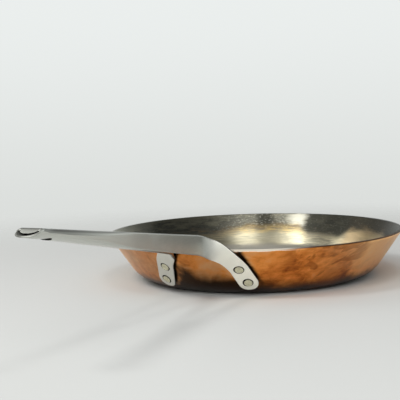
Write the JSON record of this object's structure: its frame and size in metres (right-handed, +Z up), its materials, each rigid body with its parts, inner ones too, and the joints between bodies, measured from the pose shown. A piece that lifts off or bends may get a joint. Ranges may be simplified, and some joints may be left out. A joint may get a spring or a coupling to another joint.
{
  "type": "skillet",
  "caption": "Shallow round copper frying pan with a flared wall, a tin lining and a long forked hollow steel handle riveted to the wall.",
  "frame": {"origin": "centre of the flat base's underside", "axes": "+X along the handle, away from the pan; +Z up out of the bowl; +Y to the right as seen from the handle's end"},
  "size_m": [0.573, 0.304, 0.0995],
  "materials": {
    "copper": "worn, brushed copper",
    "tin": "wiped tin with faint heat tints",
    "steel": "satin",
    "rivet_steel": "worn satin"
  },
  "bodies": {
    "root": {"pan_body": "copper", "tin_lining": "tin", "handle": "steel", "rivet_left_upper": "rivet_steel", "rivet_left_lower": "rivet_steel", "rivet_right_upper": "rivet_steel", "rivet_right_lower": "rivet_steel"}
  },
  "joints": []
}
